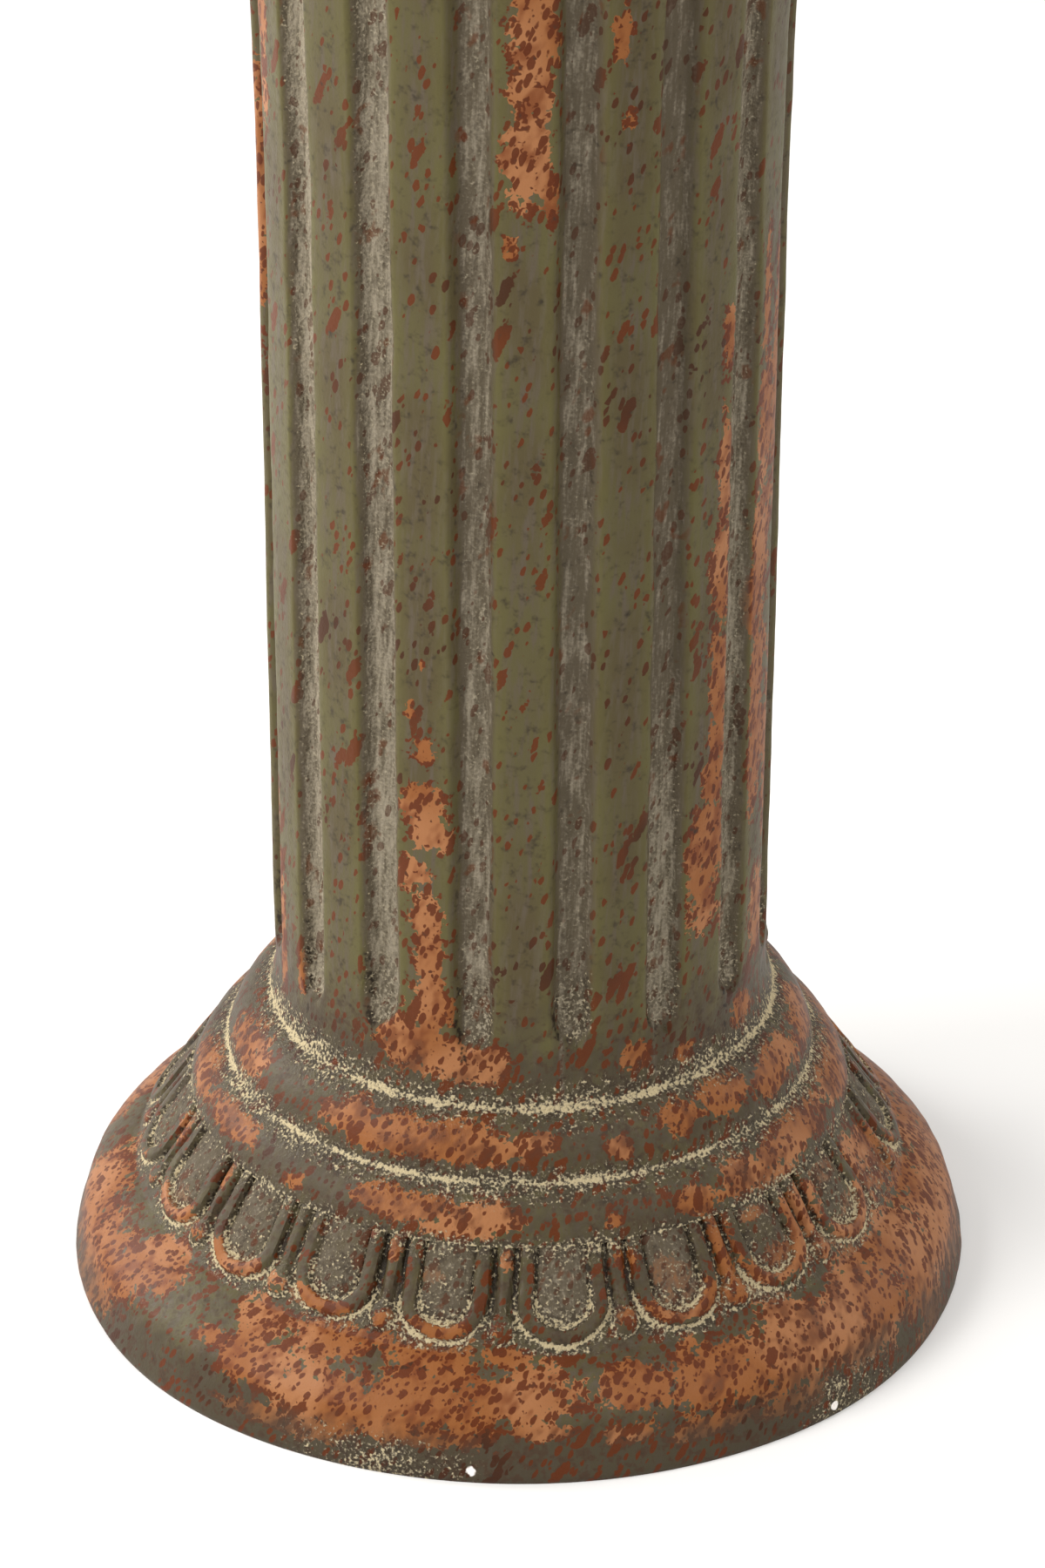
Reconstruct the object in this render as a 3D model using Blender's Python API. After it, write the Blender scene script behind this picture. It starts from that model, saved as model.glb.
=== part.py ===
"""Fluted garden pedestal with an egg-and-dart base, cast in one piece.

Units are metres and +Z is up. The origin is the centre of the underside, and the front faces -Y.
Azimuths are measured about +Z from the front (-Y) towards +X.
The casting is built of rings of points, stacked from the underside to the top face and joined by faces.
"""

from math import asin, atan, cos, hypot, pi, radians, sin

import bmesh
import bpy

# Shaft, between the crease above the base and the crease below the capital
SHAFT_RADIUS = 0.1000
SHAFT_HEIGHT = 0.5363
FOOT_FLARE = 0.0041
FOOT_FLARE_HEIGHT = 0.0200
HEAD_FLARE = 0.0060
HEAD_FLARE_HEIGHT = 0.2050

# Flutes
FLUTES = 16
FLUTE_AZIMUTH = radians(11.78)
FLUTE_FLOOR = 0.0105
FLUTE_SIDE = 0.0036
FLUTE_DEPTH = 0.0058
FLUTE_FOOT_GAP = 0.0268
FLUTE_HEAD_GAP = 0.0240
FLUTE_END_LENGTH = 0.0110
FLUTE_TIP_SHARE = 0.35
FLUTE_SIDE_MIDDLE_SHARE = 0.38

# Base, from the shaft down: how far each moulding stands out past the one above, and how high it is
UPPER_ROLL_STEP = 0.0162
UPPER_ROLL_HEIGHT = 0.0234
UPPER_ROLL_BULGE = 0.0032
LOWER_ROLL_STEP = 0.0155
LOWER_ROLL_HEIGHT = 0.0195
LOWER_ROLL_BULGE = 0.0025
LOWER_ROLL_OVERHANG = 0.0014
BAND_STEP = 0.0248
BAND_HEIGHT = 0.0345
SHOULDER_STEP = 0.0206
SHOULDER_HEIGHT = 0.0193
SHOULDER_BULGE = 0.0017
WALL_STEP = 0.0060
WALL_HEIGHT = 0.0200
FOOT_EDGE = 0.0030
FOOT_EDGE_STEP = 0.0010

# Capital, from the shaft up. It repeats the base's plain mouldings upside down.
NECK_ROLL_STEP = 0.0135
NECK_ROLL_HEIGHT = 0.0190
NECK_ROLL_BULGE = 0.0040
BELL_STEP = 0.0300
BELL_HEIGHT = 0.0390
BELL_BULGE = 0.0050
RIM_STEP = 0.0060
RIM_HEIGHT = 0.0460
RIM_EDGE = 0.0050

# Where the darts stand: even round the front, then a plain stretch at the mould's seam, then even again
EGGS = 20
FRONT_EGGS = 9
FIRST_DART_AZIMUTH = radians(-92.31)
FRONT_PITCH = 2 * pi / EGGS
SEAM_TURN = radians(10.6)
SEAM_DART_ROOM = 0.0085

# Egg-and-dart band: widths are measured round the middle of the band, drops down its slope
DART_WIDTH = 0.0072
DART_HEIGHT = 0.0018
BULB_WIDTH = 0.0106
BULB_HEIGHT = 0.0030
BULB_DROP = 0.0321
DART_EDGE_SHARE = 0.6
BULB_EDGE_SHARE = 0.3
GROOVE_WIDTH = 0.0018
GROOVE_DEPTH = 0.0010
FRAME_RIB = 0.0070
FRAME_ROUNDING = 0.0013
FRAME_HEIGHT = 0.0022
FRAME_FOOT_GAP = 0.0040
FRAME_ARC_SHARE = 0.96
EGG_HEIGHT = 0.0014
EGG_CROWN_SHARE = 0.5

# How finely the curves are divided
PLAIN_COLUMNS_PER_EGG = 4
SIDE_PARTS = 3
SHOULDER_PARTS = 4
ROLL_PARTS = 3
FLARE_PARTS = 3
FLUTE_END_PARTS = 3
NECK_ROLL_PARTS = 3
BELL_PARTS = 3

# Heights of the creases above the underside
BAND_FOOT_Z = FOOT_EDGE + WALL_HEIGHT + SHOULDER_HEIGHT
BAND_HEAD_Z = BAND_FOOT_Z + BAND_HEIGHT
ROLL_CREASE_Z = BAND_HEAD_Z + LOWER_ROLL_HEIGHT
SHAFT_FOOT_Z = ROLL_CREASE_Z + UPPER_ROLL_HEIGHT
SHAFT_HEAD_Z = SHAFT_FOOT_Z + SHAFT_HEIGHT

# Radii of the creases
SHAFT_FOOT_RADIUS = SHAFT_RADIUS + FOOT_FLARE
SHAFT_HEAD_RADIUS = SHAFT_RADIUS + HEAD_FLARE
ROLL_CREASE_RADIUS = SHAFT_FOOT_RADIUS + UPPER_ROLL_STEP
LOWER_ROLL_RADIUS = ROLL_CREASE_RADIUS + LOWER_ROLL_STEP
BAND_HEAD_RADIUS = LOWER_ROLL_RADIUS - LOWER_ROLL_OVERHANG
BAND_FOOT_RADIUS = BAND_HEAD_RADIUS + BAND_STEP

# The band's slope, and the egg frame that fits between two darts and their grooves
BAND_LENGTH = hypot(BAND_STEP, BAND_HEIGHT)
BAND_MIDDLE_RADIUS = (BAND_HEAD_RADIUS + BAND_FOOT_RADIUS) / 2
EGG_HALF_PITCH = BAND_MIDDLE_RADIUS * FRONT_PITCH / 2
FRAME_HALF_WIDTH = EGG_HALF_PITCH - DART_WIDTH / 2 - GROOVE_WIDTH
FRAME_ARC_DROP = BAND_LENGTH - FRAME_FOOT_GAP - FRAME_ARC_SHARE * FRAME_HALF_WIDTH

CASTING_COLOUR = (0.115, 0.105, 0.060, 1.0)
CASTING_ROUGHNESS = 0.62
CREASE_ANGLE = radians(28)

# Points this close together are one vertex, in decimals of a metre. Azimuths are compared as closely.
VERTEX_DECIMALS = 7
AZIMUTH_TOLERANCE = 1e-9


def clear_scene():
    for old in list(bpy.data.objects):
        bpy.data.objects.remove(old, do_unlink=True)


def arc(start, end, bulge, parts):
    """Points (radius, z) on the arc from start, which is left out, to end, standing bulge off its chord."""
    run, rise = end[0] - start[0], end[1] - start[1]
    chord = hypot(run, rise)
    half_angle = 2 * atan(2 * bulge / chord)
    arc_radius = chord / (2 * sin(half_angle))
    points = []
    for part in range(1, parts + 1):
        turn = half_angle * (2 * part / parts - 1)
        along = 0.5 + arc_radius * sin(turn) / chord
        out = arc_radius * (cos(turn) - cos(half_angle)) / chord
        points.append((start[0] + run * along + rise * out, start[1] + rise * along - run * out))
    return points


def plain_ring(radius, z):
    """A round ring. Its columns line up with the front darts."""
    count = EGGS * PLAIN_COLUMNS_PER_EGG
    return [(FIRST_DART_AZIMUTH + 2 * pi * column / count, radius, z) for column in range(count)]


def shaft_radius(z):
    """The shaft's radius over its lands: straight, with a short flare below and a long one above."""
    foot_share = max(0.0, 1 - (z - SHAFT_FOOT_Z) / FOOT_FLARE_HEIGHT)
    head_share = max(0.0, 1 - (SHAFT_HEAD_Z - z) / HEAD_FLARE_HEIGHT)
    return SHAFT_RADIUS + FOOT_FLARE * foot_share**2 + HEAD_FLARE * head_share**2


def fluted_ring(z, width_share, depth_share):
    """A ring of the shaft whose flutes have these shares of their full width and depth."""
    floor = asin(FLUTE_FLOOR / 2 / SHAFT_RADIUS) * width_share
    side = FLUTE_SIDE / SHAFT_RADIUS * width_share
    depth = FLUTE_DEPTH * depth_share
    across = [
        (-floor - side, 0.0),
        (-floor - side / 2, depth * FLUTE_SIDE_MIDDLE_SHARE),
        (-floor, depth),
        (floor, depth),
        (floor + side / 2, depth * FLUTE_SIDE_MIDDLE_SHARE),
        (floor + side, 0.0),
        (pi / FLUTES, 0.0),
    ]
    ring = []
    for flute in range(FLUTES):
        centre = FLUTE_AZIMUTH + 2 * pi * flute / FLUTES
        ring += [(centre + offset, shaft_radius(z) - sunk, z) for offset, sunk in across]
    return ring


def fluted_rings():
    """The shaft's rings from the flutes' lower tips to their upper tips."""
    foot = SHAFT_FOOT_Z + FLUTE_FOOT_GAP
    head = SHAFT_HEAD_Z - FLUTE_HEAD_GAP
    turns = [pi / 2 * part / FLUTE_END_PARTS for part in range(1, FLUTE_END_PARTS + 1)]
    ends = [(FLUTE_END_LENGTH * (1 - cos(turn)), sin(turn)) for turn in turns]
    flare_foot = SHAFT_HEAD_Z - HEAD_FLARE_HEIGHT
    flare_rise = head - FLUTE_END_LENGTH - flare_foot
    flare = [flare_foot + flare_rise * part / FLARE_PARTS for part in range(FLARE_PARTS)]
    rings = [fluted_ring(foot, FLUTE_TIP_SHARE, 0.0)]
    rings += [fluted_ring(foot + rise, share, share) for rise, share in ends]
    rings += [fluted_ring(z, 1.0, 1.0) for z in flare]
    rings += [fluted_ring(head - rise, share, share) for rise, share in reversed(ends)]
    rings.append(fluted_ring(head, FLUTE_TIP_SHARE, 0.0))
    return rings


def band_shares():
    """The eggs' shares of the band and the seam's plain one: (azimuth of its start, its turn, plain)."""
    seam_start = FIRST_DART_AZIMUTH + FRONT_PITCH * FRONT_EGGS
    back_start = seam_start + SEAM_TURN
    back_eggs = EGGS - FRONT_EGGS
    back_pitch = (FIRST_DART_AZIMUTH + 2 * pi - back_start) / back_eggs
    front = [(FIRST_DART_AZIMUTH + FRONT_PITCH * egg, FRONT_PITCH, False) for egg in range(FRONT_EGGS)]
    back = [(back_start + back_pitch * egg, back_pitch, False) for egg in range(back_eggs)]
    return [*front, (seam_start, SEAM_TURN, True), *back]


def on_band(share, across, drop, relief):
    """A point of the band: across from the share's middle, drop down the slope, relief out of it."""
    start, turn, plain = share
    width = SEAM_TURN * BAND_MIDDLE_RADIUS if plain else 2 * EGG_HALF_PITCH
    return band_point(start + turn * (0.5 + across / width), drop, relief)


def band_point(azimuth, drop, relief):
    share = drop / BAND_LENGTH
    radius = BAND_HEAD_RADIUS + BAND_STEP * share + relief * BAND_HEIGHT / BAND_LENGTH
    z = BAND_HEAD_Z - BAND_HEIGHT * share + relief * BAND_STEP / BAND_LENGTH
    return (azimuth, radius, z)


def u_path(half_width, shrink, leg_relief, foot_relief):
    """A U inside the frame's outer edge: down its left leg, round its foot and up its right leg."""
    parts = PLAIN_COLUMNS_PER_EGG + 2 * SIDE_PARTS
    depth = FRAME_ARC_SHARE * FRAME_HALF_WIDTH - shrink
    path = [(-half_width, 0.0, leg_relief)]
    for part in range(parts + 1):
        turn = pi * part / parts
        at_foot = SIDE_PARTS <= part <= parts - SIDE_PARTS
        drop = FRAME_ARC_DROP + depth * sin(turn)
        path.append((-half_width * cos(turn), drop, foot_relief if at_foot else leg_relief))
    path.append((half_width, 0.0, leg_relief))
    return path


def seam_columns():
    """The seam's share, as columns of points from its left dart's crest to its right dart's."""
    half_width = SEAM_TURN * BAND_MIDDLE_RADIUS / 2
    bulb_foot = BULB_DROP + BULB_WIDTH / 2
    drops = [0.0, FRAME_ARC_DROP, BULB_DROP, bulb_foot, BAND_LENGTH]
    crest = zip([0.0] * 5, [DART_HEIGHT, DART_HEIGHT, BULB_HEIGHT, 0.0, 0.0])
    edge_reliefs = [DART_HEIGHT * DART_EDGE_SHARE] * 2 + [BULB_HEIGHT * BULB_EDGE_SHARE, 0.0, 0.0]
    edge = zip([DART_WIDTH / 2] * 2 + [BULB_WIDTH / 2] * 3, edge_reliefs)
    ground = zip([SEAM_DART_ROOM] * 5, [0.0] * 5)
    left = [
        [(inward - half_width, drop, relief) for drop, (inward, relief) in zip(drops, column)]
        for column in (crest, edge, ground)
    ]
    right = [[(-across, drop, relief) for across, drop, relief in column] for column in reversed(left)]
    return left + right


def side_and_foot_path():
    """The edge of one egg's share of the band: down a dart's crest, along the foot, up the next dart."""
    left = [
        (0.0, DART_HEIGHT),
        (FRAME_ARC_DROP, DART_HEIGHT),
        (BULB_DROP, BULB_HEIGHT),
        (BULB_DROP + BULB_WIDTH / 2, 0.0),
    ]
    path = [(-EGG_HALF_PITCH, drop, relief) for drop, relief in left]
    for column in range(PLAIN_COLUMNS_PER_EGG + 1):
        across = EGG_HALF_PITCH * (2 * column / PLAIN_COLUMNS_PER_EGG - 1)
        path.append((across, BAND_LENGTH, 0.0))
    return path + [(EGG_HALF_PITCH, drop, relief) for drop, relief in reversed(left)]


def dart_edge_path(outline, groove):
    """The darts' sides, then halfway between the band's foot and the frame."""
    edge = EGG_HALF_PITCH - DART_WIDTH / 2
    bulb_edge = EGG_HALF_PITCH - BULB_WIDTH / 2
    left = [
        (edge, 0.0, DART_HEIGHT * DART_EDGE_SHARE),
        (edge, FRAME_ARC_DROP, DART_HEIGHT * DART_EDGE_SHARE),
        (bulb_edge, BULB_DROP, BULB_HEIGHT * BULB_EDGE_SHARE),
        (bulb_edge, BULB_DROP + BULB_WIDTH / 2, 0.0),
    ]
    beside = len(left)
    between = zip(outline[beside:-beside], groove[beside:-beside])
    middle = [((a[0] + b[0]) / 2, (a[1] + b[1]) / 2, 0.0) for a, b in between]
    path = [(-across, drop, relief) for across, drop, relief in left] + middle
    return path + list(reversed(left))


def egg_paths():
    """Nested outlines of one egg's share of the band, from the darts' crests to the egg's crown."""
    outer, inner = FRAME_HALF_WIDTH, FRAME_HALF_WIDTH - FRAME_RIB
    crown = inner * EGG_CROWN_SHARE
    outline = side_and_foot_path()
    groove = u_path(outer, 0.0, -GROOVE_DEPTH, 0.0)
    return [
        outline,
        dart_edge_path(outline, groove),
        groove,
        u_path(outer - FRAME_ROUNDING, FRAME_ROUNDING, FRAME_HEIGHT, FRAME_HEIGHT),
        u_path(inner + FRAME_ROUNDING, FRAME_RIB - FRAME_ROUNDING, FRAME_HEIGHT, FRAME_HEIGHT),
        u_path(inner, FRAME_RIB, -GROOVE_DEPTH / 2, -GROOVE_DEPTH / 2),
        u_path(crown, FRAME_RIB + inner - crown, EGG_HEIGHT, EGG_HEIGHT),
    ]


class Casting:
    """A mesh in the making. Points in the same place are one vertex."""

    def __init__(self):
        self.mesh = bmesh.new()
        self.vertices = {}

    def vertex(self, point):
        azimuth, radius, z = point
        place = (radius * sin(azimuth), -radius * cos(azimuth), z)
        key = tuple(round(length, VERTEX_DECIMALS) for length in place)
        if key not in self.vertices:
            self.vertices[key] = self.mesh.verts.new(place)
        return self.vertices[key]

    def face(self, points):
        corners = [self.vertex(point) for point in points]
        whole = [corner for i, corner in enumerate(corners) if corner is not corners[i - 1]]
        self.mesh.faces.new(whole)

    def join(self, lower, upper):
        """Faces between two rings. Rings of unequal counts are joined where their azimuths are nearest."""
        if len(lower) == len(upper):
            for i in range(len(lower)):
                j = (i + 1) % len(lower)
                self.face([lower[i], lower[j], upper[j], upper[i]])
            return
        lower, upper = from_one_azimuth(lower), from_one_azimuth(upper)
        i = j = 0
        while i < len(lower) - 1 or j < len(upper) - 1:
            if j == len(upper) - 1 or (i < len(lower) - 1 and lower[i + 1][0] <= upper[j + 1][0]):
                self.face([lower[i], lower[i + 1], upper[j]])
                i += 1
            else:
                self.face([lower[i], upper[j + 1], upper[j]])
                j += 1

    def stack(self, rings):
        for lower, upper in zip(rings, rings[1:]):
            self.join(lower, upper)

    def fill(self, ring, facing_up):
        self.face(ring if facing_up else list(reversed(ring)))

    def lay_columns(self, columns, share):
        """The seam's share of the band: strips between its columns."""
        rows = [[on_band(share, *step) for step in column] for column in columns]
        for left, right in zip(rows, rows[1:]):
            for i in range(len(left) - 1):
                self.face([left[i], left[i + 1], right[i + 1], right[i]])

    def nest(self, paths, share):
        """One egg's share of the band: strips between nested paths, then rungs across the innermost."""
        rows = [[on_band(share, *step) for step in path] for path in paths]
        for outer, inner in zip(rows, rows[1:]):
            for i in range(len(outer) - 1):
                self.face([outer[i], outer[i + 1], inner[i + 1], inner[i]])
        crown = rows[-1]
        for i in range(len(crown) // 2):
            self.face([crown[i], crown[i + 1], crown[-2 - i], crown[-1 - i]])


def from_one_azimuth(ring):
    """The ring's points by azimuth within one turn from the first dart, with the first repeated."""
    start = FIRST_DART_AZIMUTH - AZIMUTH_TOLERANCE
    turned = sorted(((point[0] - start) % (2 * pi), *point[1:]) for point in ring)
    placed = [(azimuth + FIRST_DART_AZIMUTH, radius, z) for azimuth, radius, z in turned]
    first = placed[0]
    return placed + [(first[0] + 2 * pi, first[1], first[2])]


def band_head_ring(paths, columns):
    """The band's upper edge, with the relief cut square."""
    ring = []
    for share in band_shares():
        if share[2]:
            ring += [on_band(share, *column[0]) for column in columns[:-1]]
        else:
            ring += [on_band(share, *path[0]) for path in paths]
            ring += [on_band(share, *path[-1]) for path in reversed(paths[1:])]
    return ring


def band_foot_ring(columns):
    ring = []
    for share in band_shares():
        if share[2]:
            ring += [on_band(share, *column[-1]) for column in columns[:-1]]
        else:
            for column in range(PLAIN_COLUMNS_PER_EGG):
                across = EGG_HALF_PITCH * (2 * column / PLAIN_COLUMNS_PER_EGG - 1)
                ring.append(on_band(share, across, BAND_LENGTH, 0.0))
    return ring


def base_rings():
    """From the underside to the last ring below the foot of the band."""
    wall_head = (BAND_FOOT_RADIUS + SHOULDER_STEP, FOOT_EDGE + WALL_HEIGHT)
    wall_foot = (wall_head[0] + WALL_STEP, FOOT_EDGE)
    underside = (wall_foot[0] - FOOT_EDGE_STEP, 0.0)
    shoulder = arc(wall_head, (BAND_FOOT_RADIUS, BAND_FOOT_Z), SHOULDER_BULGE, SHOULDER_PARTS)
    return [plain_ring(*point) for point in [underside, wall_foot, wall_head, *shoulder[:-1]]]


def roll_rings():
    """The two rolls and the plain foot of the shaft."""
    lowest = (LOWER_ROLL_RADIUS, BAND_HEAD_Z)
    crease = (ROLL_CREASE_RADIUS, ROLL_CREASE_Z)
    shaft_foot = (SHAFT_FOOT_RADIUS, SHAFT_FOOT_Z)
    points = [lowest]
    points += arc(lowest, crease, LOWER_ROLL_BULGE, ROLL_PARTS)
    points += arc(crease, shaft_foot, UPPER_ROLL_BULGE, ROLL_PARTS)
    for part in range(1, FLARE_PARTS):
        z = SHAFT_FOOT_Z + FOOT_FLARE_HEIGHT * part / FLARE_PARTS
        points.append((shaft_radius(z), z))
    return [plain_ring(*point) for point in points]


def capital_rings():
    """From the crease under the neck roll to the top face."""
    neck = (SHAFT_HEAD_RADIUS, SHAFT_HEAD_Z)
    bell_foot = (neck[0] + NECK_ROLL_STEP, neck[1] + NECK_ROLL_HEIGHT)
    bell_head = (bell_foot[0] + BELL_STEP, bell_foot[1] + BELL_HEIGHT)
    rim_foot = (bell_head[0] + RIM_STEP, bell_head[1])
    rim_head = (rim_foot[0], rim_foot[1] + RIM_HEIGHT)
    points = [neck]
    points += arc(neck, bell_foot, NECK_ROLL_BULGE, NECK_ROLL_PARTS)
    points += arc(bell_foot, bell_head, BELL_BULGE, BELL_PARTS)
    points += [
        rim_foot,
        (rim_head[0], rim_head[1] - RIM_EDGE),
        (rim_head[0] - RIM_EDGE, rim_head[1]),
    ]
    return [plain_ring(*point) for point in points]


def casting_material():
    material = bpy.data.materials.new("weathered_casting")
    material.use_nodes = True
    shader = material.node_tree.nodes["Principled BSDF"]
    shader.inputs["Base Color"].default_value = CASTING_COLOUR
    shader.inputs["Roughness"].default_value = CASTING_ROUGHNESS
    shader.inputs["Metallic"].default_value = 0.0
    return material


def make_pedestal():
    casting = Casting()
    paths, columns = egg_paths(), seam_columns()
    base = [*base_rings(), band_foot_ring(columns)]
    upper = [*roll_rings(), *fluted_rings(), *capital_rings()]
    casting.fill(base[0], facing_up=False)
    casting.stack(base)
    for share in band_shares():
        if share[2]:
            casting.lay_columns(columns, share)
        else:
            casting.nest(paths, share)
    casting.join(band_head_ring(paths, columns), upper[0])
    casting.stack(upper)
    casting.fill(upper[-1], facing_up=True)
    mesh = bpy.data.meshes.new("pedestal")
    casting.mesh.to_mesh(mesh)
    casting.mesh.free()
    mesh.shade_smooth()
    mesh.set_sharp_from_angle(angle=CREASE_ANGLE)
    mesh.materials.append(casting_material())
    pedestal = bpy.data.objects.new("pedestal", mesh)
    bpy.context.scene.collection.objects.link(pedestal)
    return pedestal


clear_scene()
make_pedestal()
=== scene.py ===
"""The weathered look of the fluted garden pedestal: one skin that stands for the cast pedestal.

Units are metres and +Z is up. Azimuths are measured about +Z from the front (-Y) towards +X.
The skin is built of rings, from the underside up. Each ring point carries shares of the finish that
the material turns into bare orange patches, pale crust, grey flutes, cracks and chips, and of painted
light: shade in the band's grooves, shadow on the flutes' left walls, highlights on their shoulders.
"""

from math import atan, cos, hypot, pi, radians, sin

import bpy
import numpy as np
from mathutils import Matrix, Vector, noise


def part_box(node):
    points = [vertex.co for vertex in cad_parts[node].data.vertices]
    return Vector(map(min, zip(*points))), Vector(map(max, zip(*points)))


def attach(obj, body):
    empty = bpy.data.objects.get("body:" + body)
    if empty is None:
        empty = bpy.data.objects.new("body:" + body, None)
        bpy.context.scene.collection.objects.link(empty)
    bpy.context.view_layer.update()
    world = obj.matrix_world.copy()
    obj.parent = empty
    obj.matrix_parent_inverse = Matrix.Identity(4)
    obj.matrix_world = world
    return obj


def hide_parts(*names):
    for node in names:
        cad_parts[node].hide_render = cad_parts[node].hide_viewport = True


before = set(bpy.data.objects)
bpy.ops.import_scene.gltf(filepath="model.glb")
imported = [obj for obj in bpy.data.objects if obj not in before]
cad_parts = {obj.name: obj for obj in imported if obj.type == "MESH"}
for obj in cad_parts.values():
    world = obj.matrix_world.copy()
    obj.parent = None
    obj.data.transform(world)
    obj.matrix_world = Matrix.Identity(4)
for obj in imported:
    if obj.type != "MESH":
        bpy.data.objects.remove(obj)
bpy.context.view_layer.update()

MM = 0.001

# Profile of the casting (radius, height), from the underside up
UNDERSIDE = (0.1848, 0.0)
WALL_FOOT = (0.1858, 0.0030)
WALL_HEAD = (0.1798, 0.0230)
BAND_FOOT = (0.1592, 0.0423)
BAND_HEAD = (0.1344, 0.0768)
LOWER_ROLL_FOOT = (0.1358, 0.0768)
ROLL_CREASE = (0.1203, 0.0963)
SHAFT_FOOT = (0.1041, 0.1197)
SHAFT_HEAD = (0.1060, 0.6560)
BELL_FOOT = (0.1195, 0.6750)
BELL_HEAD = (0.1495, 0.7140)
RIM_FOOT = (0.1555, 0.7140)
RIM_HEAD = (0.1555, 0.7550)
TOP_EDGE = (0.1505, 0.7600)
SHOULDER_BULGE = 0.0017
LOWER_ROLL_BULGE = 0.0025
UPPER_ROLL_BULGE = 0.0032
NECK_ROLL_BULGE = 0.0040
BELL_BULGE = 0.0050

# Shaft and flutes
SHAFT_RADIUS = 0.1000
FOOT_FLARE_HEIGHT = 0.0200
HEAD_FLARE_HEIGHT = 0.2050
FLUTES = 16
FLUTE_AZIMUTH = radians(11.78)
FLUTE_FLOOR_HALF = 4.3 * MM
FLUTE_SIDE = 5.4 * MM
FLUTE_DEPTH = 5.8 * MM
FLUTE_FOOT_Z = 0.1465
FLUTE_HEAD_Z = 0.6320
FLUTE_END_LENGTH = 0.0110
FLUTE_COLUMNS_MM = (-10.0, -8.8, -7.7, -6.6, -5.5, -4.3, -2.4, 0.0, 2.4, 4.3, 5.5, 6.6, 7.7, 8.8, 10.0,
                    12.0, 15.4, 19.6, 23.8, 27.2)

# Egg-and-dart band, in the width of one egg's share at the middle of the band
BAND_LENGTH = hypot(BAND_FOOT[0] - BAND_HEAD[0], BAND_FOOT[1] - BAND_HEAD[1])
EGG_HALF_PITCH = 23.06 * MM
FRAME_HALF_WIDTH = 17.66 * MM
FRAME_RIB = 7.0 * MM
FRAME_HEIGHT = 2.5 * MM
FRAME_ARC_DROP = 21.5 * MM
FRAME_ARC_SHARE = 0.96
EGG_HEIGHT = 1.5 * MM
DART_HALF_WIDTH = 3.6 * MM
DART_NECK = 1.1 * MM
DART_HEIGHT = 1.8 * MM
BULB_DROP = 32.1 * MM
BULB_HALF_WIDTH = 5.4 * MM
BULB_HALF_LENGTH = 6.2 * MM
BULB_HEIGHT = 3.0 * MM
GROOVE_DEPTH = 1.1 * MM

# Where the darts stand: even round the front, then a plain stretch at the mould's seam, then even again
FRONT_DART = radians(-92.31)
FRONT_PITCH = radians(18.0)
FRONT_EGGS = 9
SEAM_WIDTH = radians(10.6)
BACK_EGGS = 11

# How finely the skin is divided
BASE_COLUMNS = 400
BAND_COLUMNS = 880
ROLL_COLUMNS = 400
CAPITAL_COLUMNS = 200
BASE_STEP = 2.2 * MM
BAND_ROWS = 34
ROLL_STEP = 2.1 * MM
END_STEP = 2.3 * MM
SHAFT_STEP = 5.4 * MM
CAPITAL_STEP = 5.0 * MM


def ease(value, start, end):
    """0 before start, 1 after end, smooth between."""
    share = np.clip((value - start) / (end - start), 0.0, 1.0)
    return share * share * (3 - 2 * share)


def hump(value, centre, half_width):
    """1 at the centre, falling smoothly to 0 over a few half widths."""
    return np.exp(-(((value - centre) / half_width) ** 2))


def drift(points, wavelength, seed, octaves=1):
    """Smooth random values, about -1 to 1, that change over this wavelength."""
    values = np.zeros(len(points))
    total = 0.0
    for octave in range(octaves):
        scaled = points * (2.0**octave / wavelength) + 17.31 * (seed + 1) + 5.7 * octave
        weight = 0.55**octave
        values += weight * np.array([noise.noise(point) for point in scaled.tolist()])
        total += weight
    return 1.6 * values / total


def on_ring(azimuth, radius, z):
    return np.stack([radius * np.sin(azimuth), -radius * np.cos(azimuth), z + 0.0 * azimuth], axis=1)


def line(start, end, step):
    """Points from start, which is left out, to end."""
    parts = max(1, round(hypot(end[0] - start[0], end[1] - start[1]) / step))
    return [
        (start[0] + (end[0] - start[0]) * i / parts, start[1] + (end[1] - start[1]) * i / parts)
        for i in range(1, parts + 1)
    ]


def arc(start, end, bulge, step):
    """Points on the arc from start, which is left out, to end, standing bulge off its chord."""
    run, rise = end[0] - start[0], end[1] - start[1]
    chord = hypot(run, rise)
    parts = max(2, round(chord / step))
    half_angle = 2 * atan(2 * bulge / chord)
    arc_radius = chord / (2 * sin(half_angle))
    points = []
    for part in range(1, parts + 1):
        turn = half_angle * (2 * part / parts - 1)
        along = 0.5 + arc_radius * sin(turn) / chord
        out = arc_radius * (cos(turn) - cos(half_angle)) / chord
        points.append((start[0] + run * along + rise * out, start[1] + rise * along - run * out))
    return points


def rounded(path, passes):
    """The path with its corners worn round. Its ends stay."""
    worn = np.array(path)
    for _ in range(passes):
        worn[1:-1] = 0.25 * worn[:-2] + 0.5 * worn[1:-1] + 0.25 * worn[2:]
    return [tuple(point) for point in worn.tolist()]


def even_azimuths(count, start=FRONT_DART):
    return start + 2 * pi * np.arange(count) / count


def fluted_azimuths():
    offsets = np.array(FLUTE_COLUMNS_MM) * MM / SHAFT_RADIUS
    centres = FLUTE_AZIMUTH + 2 * pi * np.arange(FLUTES) / FLUTES
    turned = (centres[:, None] + offsets[None, :]).ravel() - FRONT_DART
    return FRONT_DART + np.sort(turned % (2 * pi))


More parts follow.
